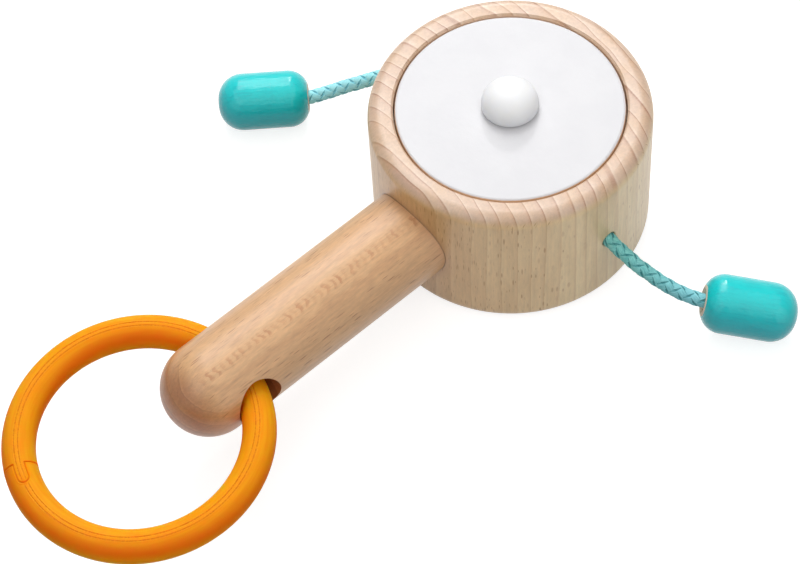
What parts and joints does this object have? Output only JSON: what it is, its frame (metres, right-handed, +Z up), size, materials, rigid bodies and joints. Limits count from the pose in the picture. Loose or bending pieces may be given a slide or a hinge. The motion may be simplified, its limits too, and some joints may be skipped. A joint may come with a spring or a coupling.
{
  "type": "pellet drum rattle",
  "caption": "Wooden drum rattle with a loose white sounding plate, turquoise beads on a cord through the drum, and a dowel handle with an orange grip ring.",
  "frame": {"origin": "centre of the drum's flat rear face, on which the rattle lies", "axes": "+Z up through the drum towards the white plate, -Y along the handle to its tip, +X to the right-hand bead"},
  "size_m": [0.132, 0.1599, 0.0412],
  "materials": {
    "drum_wood": "fine sanded beech with a matt oil, grain parallel to the drum's axis",
    "handle_wood": "fine sanded beech dowel with a matt oil, grain along the dowel",
    "white_lacquer": "wood under smooth satin white lacquer",
    "turquoise_lacquer": "wood under glossy turquoise lacquer",
    "orange_plastic": "moulded, semi-gloss, with a fine parting line",
    "cord_braid": "plaited turquoise cord, slightly fuzzy"
  },
  "bodies": {
    "drum": {"drum_body": "drum_wood", "centre_knob": "white_lacquer", "handle": "handle_wood", "cord_middle": "cord_braid"},
    "plate": {"drum_plate": "white_lacquer"},
    "ring": {"grip_ring": "orange_plastic"},
    "right_pellet": {"right_bead": "turquoise_lacquer", "right_cord": "cord_braid"},
    "left_pellet": {"left_bead": "turquoise_lacquer", "left_cord": "cord_braid"}
  },
  "joints": [
    {"name": "plate_rattle", "type": "slide", "parent": "drum", "child": "plate", "axis": [0, 0, 1], "range_m": [0, 0.00038]},
    {"name": "ring_swing", "type": "hinge", "parent": "drum", "child": "ring", "pos_m": [0, -0.0792, 0.0177], "axis": [1, 0, 0], "range_deg": [-165, 158]},
    {"name": "right_bead_swing", "type": "hinge", "parent": "drum", "child": "right_pellet", "pos_m": [0.03, 0, 0.0177], "axis": [0, -1, 0], "range_deg": [-70, 125], "deforming": ["right_cord"]},
    {"name": "left_bead_swing", "type": "hinge", "parent": "drum", "child": "left_pellet", "pos_m": [-0.03, 0, 0.0177], "axis": [0, 1, 0], "range_deg": [-70, 125], "deforming": ["left_cord"]}
  ]
}
